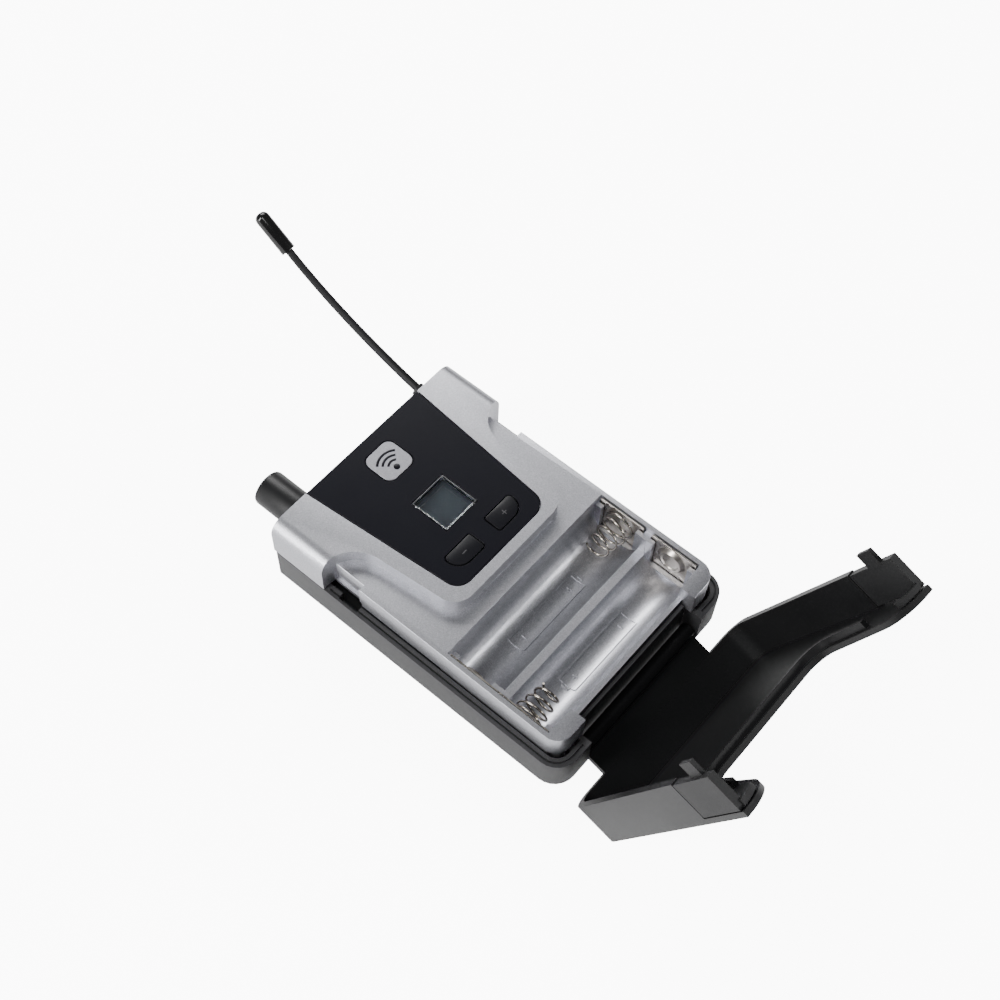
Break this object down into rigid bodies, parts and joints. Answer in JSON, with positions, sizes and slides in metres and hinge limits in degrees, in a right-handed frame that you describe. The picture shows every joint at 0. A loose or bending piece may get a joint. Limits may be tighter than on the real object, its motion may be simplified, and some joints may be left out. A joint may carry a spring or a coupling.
{
  "type": "wireless bodypack transmitter",
  "caption": "Belt-worn radio audio pack with a hinged battery door shown open, two cell bays, display, keys, level knob, audio jack, flexible antenna and a sprung belt clip.",
  "frame": {"origin": "centre of the belt clip's flat outer face, on which the pack lies", "axes": "+Z out of the control face, away from the belt; +Y along the pack from the battery door's hinge to the end with the antenna, knob and jack; +X to the antenna's side"},
  "size_m": [0.066, 0.1944, 0.0736],
  "materials": {
    "silver_shell": "silver-coated moulding, fine metallic satin",
    "black_shell": "fine texture, matte",
    "black_panel": "satin black",
    "clear_window": "smoked clear, glossy",
    "silver_badge": "satin silver",
    "key_black": "satin black",
    "door_black": "satin black moulding",
    "latch_black": "fine texture, matte",
    "knob_black": "semi-matte",
    "whip_rubber": "matte",
    "tip_gloss": "glossy",
    "contact_nickel": "satin nickel plate",
    "spring_steel": "nickel-plated wire",
    "screw_steel": "black-oxide steel",
    "shield_tin": "tinned",
    "board_green": "solder mask",
    "chip_black": "matte",
    "part_white": "matte",
    "glass_grey": "glossy",
    "clear_pipe": "clear, glossy",
    "collar_nickel": "bright nickel plate"
  },
  "bodies": {
    "housing": {"front_shell": "silver_shell", "rear_shell": "black_shell", "clip_bracket": "black_shell", "control_panel": "black_panel", "display_window": "clear_window", "badge_plate": "silver_badge", "antenna_collar": "whip_rubber", "antenna_whip": "whip_rubber", "antenna_tip": "tip_gloss", "negative_plate": "contact_nickel", "positive_plate": "contact_nickel", "bridge_plate": "contact_nickel", "antenna_clip": "contact_nickel", "battery_spring_upper": "spring_steel", "battery_spring_lower": "spring_steel", "clip_spring": "spring_steel", "housing_screw_1": "screw_steel", "housing_screw_2": "screw_steel", "housing_screw_3": "screw_steel", "housing_screw_4": "screw_steel", "board_screw_left": "screw_steel", "board_screw_right": "screw_steel", "clip_screw_1": "screw_steel", "clip_screw_2": "screw_steel", "hinge_pin": "screw_steel", "clip_pin": "screw_steel", "rf_shield": "shield_tin", "crystal_can": "shield_tin", "filter_capacitor": "shield_tin", "main_board": "board_green", "display_board": "board_green", "controller_chip": "chip_black", "audio_chip": "chip_black", "power_inductor": "chip_black", "board_header": "chip_black", "tact_switch_minus": "chip_black", "tact_switch_plus": "chip_black", "level_pot_body": "chip_black", "jack_socket": "chip_black", "lcd_frame": "part_white", "status_led": "part_white", "lcd_module": "glass_grey", "light_pipe": "clear_pipe", "jack_collar": "collar_nickel"},
    "door": {"battery_door": "door_black"},
    "latch_left_arm": {"latch_left": "latch_black"},
    "latch_right_arm": {"latch_right": "latch_black"},
    "knob": {"level_knob": "knob_black", "level_pot_shaft": "part_white"},
    "key_minus": {"button_minus": "key_black"},
    "key_plus": {"button_plus": "key_black"},
    "clip": {"belt_clip": "latch_black"}
  },
  "joints": [
    {"name": "door_hinge", "type": "hinge", "parent": "housing", "child": "door", "pos_m": [0, -0.0525, 0.0111], "axis": [-1, 0, 0], "range_deg": [0, 112]},
    {"name": "latch_right_pivot", "type": "hinge", "parent": "door", "child": "latch_right_arm", "pos_m": [0.032, -0.08565, 0.05832], "axis": [0, -0.9272, -0.3746], "range_deg": [0, 4.5], "stiffness_Nm_per_rad": 0.15},
    {"name": "latch_left_pivot", "type": "hinge", "parent": "door", "child": "latch_left_arm", "pos_m": [-0.032, -0.08565, 0.05832], "axis": [0, 0.9272, 0.3746], "range_deg": [0, 4.5], "stiffness_Nm_per_rad": 0.15},
    {"name": "level_knob_turn", "type": "hinge", "parent": "housing", "child": "knob", "pos_m": [-0.0208, 0.0364, 0.0191], "axis": [0, 1, 0], "range_deg": [-150, 150]},
    {"name": "key_minus_press", "type": "slide", "parent": "housing", "child": "key_minus", "axis": [0, 0, -1], "range_m": [0, 0.00035], "stiffness_N_per_m": 500},
    {"name": "key_plus_press", "type": "slide", "parent": "housing", "child": "key_plus", "axis": [0, 0, -1], "range_m": [0, 0.00035], "stiffness_N_per_m": 500},
    {"name": "clip_hinge", "type": "hinge", "parent": "housing", "child": "clip", "pos_m": [0, 0.015, 0.0042], "axis": [1, 0, 0], "range_deg": [0, 14], "stiffness_Nm_per_rad": 0.6, "springref_deg": -20.05}
  ]
}
